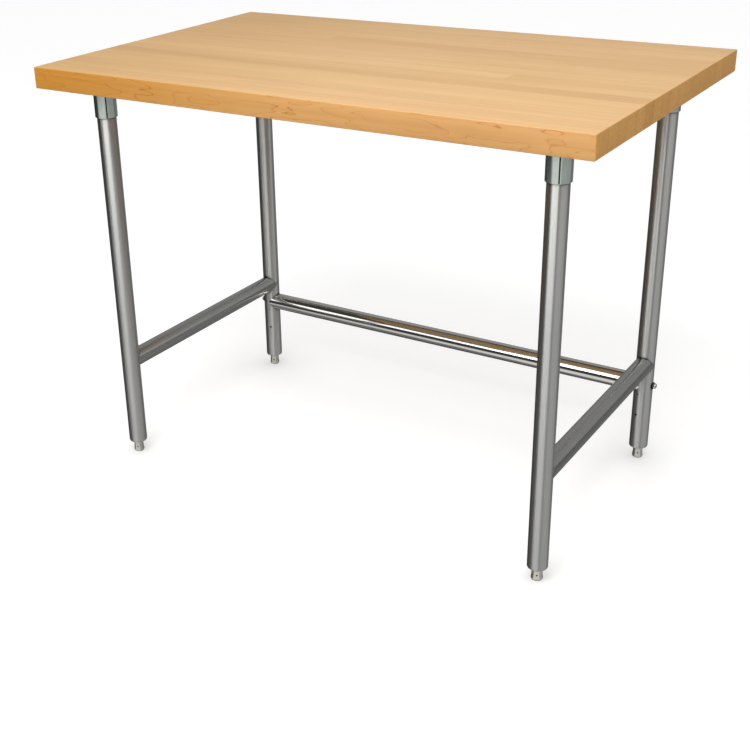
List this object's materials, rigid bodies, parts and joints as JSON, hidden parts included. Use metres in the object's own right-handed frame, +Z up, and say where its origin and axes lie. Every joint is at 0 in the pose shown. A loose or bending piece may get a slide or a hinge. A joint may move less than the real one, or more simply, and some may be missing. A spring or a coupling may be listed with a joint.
{
  "type": "butcher block table",
  "caption": "Work table with a thick edge-grain laminated wood top on round steel tube legs, with low side and rear rails, split leg sockets and screw-down levelling feet.",
  "frame": {"origin": "on the floor under the middle of the top", "axes": "+Z up, +X along the length of the top towards its right end, -Y towards the front, +Y towards the rear rail"},
  "size_m": [1.2192, 0.762, 0.9208],
  "materials": {
    "maple": "satin oiled hard maple, staves of varied tone glued face to face",
    "brushed_stainless": "stainless tube brushed round its girth",
    "polished_stainless": "stainless tube, polished along its length",
    "zinc_plate": "bright zinc plate with a faint blue-green tint",
    "cast_zinc": "die cast, lightly tumbled",
    "foot_steel": "turned and tumbled steel",
    "bolt_steel": "bright plated domed head",
    "black_nylon": "matt black washer"
  },
  "bodies": {
    "frame": {"stave_01": "maple", "stave_02": "maple", "stave_03": "maple", "stave_04": "maple", "stave_05": "maple", "stave_06": "maple", "stave_07": "maple", "stave_08": "maple", "stave_09": "maple", "stave_10": "maple", "stave_11": "maple", "stave_12": "maple", "stave_13": "maple", "stave_14": "maple", "stave_15": "maple", "stave_16": "maple", "stave_17": "maple", "leg_front_left": "brushed_stainless", "leg_socket_front_left": "zinc_plate", "set_screw_front_left": "zinc_plate", "foot_housing_front_left": "cast_zinc", "flange_screw_front_left_1": "zinc_plate", "flange_screw_front_left_2": "zinc_plate", "flange_screw_front_left_3": "zinc_plate", "leg_front_right": "brushed_stainless", "leg_socket_front_right": "zinc_plate", "set_screw_front_right": "zinc_plate", "foot_housing_front_right": "cast_zinc", "flange_screw_front_right_1": "zinc_plate", "flange_screw_front_right_2": "zinc_plate", "flange_screw_front_right_3": "zinc_plate", "leg_rear_left": "brushed_stainless", "leg_socket_rear_left": "zinc_plate", "set_screw_rear_left": "zinc_plate", "foot_housing_rear_left": "cast_zinc", "flange_screw_rear_left_1": "zinc_plate", "flange_screw_rear_left_2": "zinc_plate", "flange_screw_rear_left_3": "zinc_plate", "leg_rear_right": "brushed_stainless", "leg_socket_rear_right": "zinc_plate", "set_screw_rear_right": "zinc_plate", "foot_housing_rear_right": "cast_zinc", "flange_screw_rear_right_1": "zinc_plate", "flange_screw_rear_right_2": "zinc_plate", "flange_screw_rear_right_3": "zinc_plate", "side_rail_left": "brushed_stainless", "rail_plug_left": "cast_zinc", "rail_bolt_left": "bolt_steel", "bolt_washer_left": "black_nylon", "side_rail_right": "brushed_stainless", "rail_plug_right": "cast_zinc", "rail_bolt_right": "bolt_steel", "bolt_washer_right": "black_nylon", "rear_rail": "polished_stainless"},
    "foot_front_left": {"levelling_foot_front_left": "foot_steel"},
    "foot_front_right": {"levelling_foot_front_right": "foot_steel"},
    "foot_rear_left": {"levelling_foot_rear_left": "foot_steel"},
    "foot_rear_right": {"levelling_foot_rear_right": "foot_steel"}
  },
  "joints": [
    {"name": "foot_front_left_screw", "type": "slide", "parent": "frame", "child": "foot_front_left", "axis": [0, 0, -1], "range_m": [0, 0.025]},
    {"name": "foot_front_right_screw", "type": "slide", "parent": "frame", "child": "foot_front_right", "axis": [0, 0, -1], "range_m": [0, 0.025]},
    {"name": "foot_rear_left_screw", "type": "slide", "parent": "frame", "child": "foot_rear_left", "axis": [0, 0, -1], "range_m": [0, 0.025]},
    {"name": "foot_rear_right_screw", "type": "slide", "parent": "frame", "child": "foot_rear_right", "axis": [0, 0, -1], "range_m": [0, 0.025]}
  ]
}
